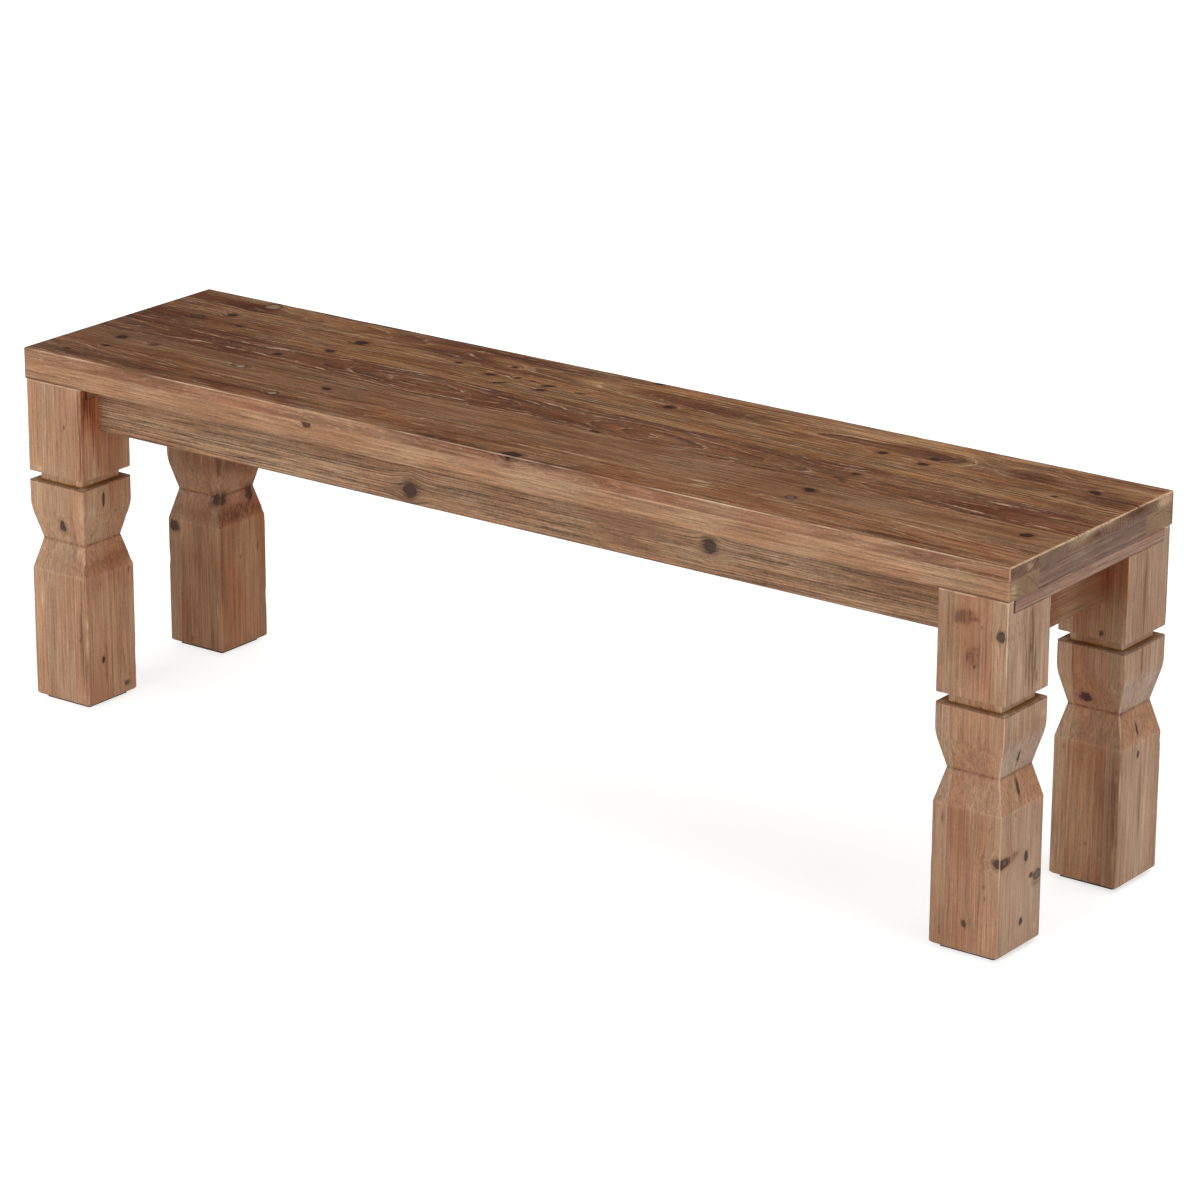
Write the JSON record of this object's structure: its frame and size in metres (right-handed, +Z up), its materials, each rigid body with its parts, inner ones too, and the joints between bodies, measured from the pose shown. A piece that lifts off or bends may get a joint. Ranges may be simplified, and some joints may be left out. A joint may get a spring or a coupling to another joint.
{
  "type": "wooden bench",
  "caption": "Long low wooden bench: thick plank seat on square profiled legs with a grooved, waisted middle, joined by recessed aprons.",
  "frame": {"origin": "on the floor under the middle of the seat, at the underside of the foot pads", "axes": "+X along the seat to the right end, +Y to the back, +Z up; the front is -Y"},
  "size_m": [1.422, 0.346, 0.457],
  "materials": {
    "seat_top_wood": "brushed, stained dark brown, satin",
    "seat_frame_wood": "stained mid brown, satin",
    "batten_wood": "stained mid brown, satin",
    "apron_wood": "stained mid brown, satin",
    "leg_wood": "stained mid brown, satin",
    "block_wood": "bare, sawn",
    "dowel_wood": "bare",
    "pad_rubber": "matt black",
    "zinc_steel": "zinc plated",
    "screw_steel": "yellow passivated"
  },
  "bodies": {
    "root": {"apron_dowels": "dowel_wood", "apron_screws": "screw_steel", "back_apron": "apron_wood", "batten_screws": "screw_steel", "brace_dowels": "dowel_wood", "brace_screws": "screw_steel", "centre_brace": "apron_wood", "corner_block_back_left": "block_wood", "corner_block_back_right": "block_wood", "corner_block_front_left": "block_wood", "corner_block_front_right": "block_wood", "corner_block_screws": "screw_steel", "end_apron_left": "apron_wood", "end_apron_right": "apron_wood", "end_batten_left": "batten_wood", "end_batten_right": "batten_wood", "foot_pad_back_left": "pad_rubber", "foot_pad_back_right": "pad_rubber", "foot_pad_front_left": "pad_rubber", "foot_pad_front_right": "pad_rubber", "front_apron": "apron_wood", "hanger_bolt_nuts": "zinc_steel", "hanger_bolt_washers": "zinc_steel", "hanger_bolts": "zinc_steel", "leg_back_left_core": "leg_wood", "leg_back_left_inner_layer": "leg_wood", "leg_back_left_outer_layer": "leg_wood", "leg_back_right_core": "leg_wood", "leg_back_right_inner_layer": "leg_wood", "leg_back_right_outer_layer": "leg_wood", "leg_front_left_core": "leg_wood", "leg_front_left_inner_layer": "leg_wood", "leg_front_left_outer_layer": "leg_wood", "leg_front_right_core": "leg_wood", "leg_front_right_inner_layer": "leg_wood", "leg_front_right_outer_layer": "leg_wood", "leg_screws": "screw_steel", "seat_centre_rail": "seat_frame_wood", "seat_edge_rail_back": "seat_frame_wood", "seat_edge_rail_front": "seat_frame_wood", "seat_end_rail_left": "seat_frame_wood", "seat_end_rail_right": "seat_frame_wood", "seat_plank_1": "seat_top_wood", "seat_plank_2": "seat_top_wood", "seat_plank_3": "seat_top_wood", "seat_plank_4": "seat_top_wood", "seat_plank_5": "seat_top_wood"}
  },
  "joints": []
}
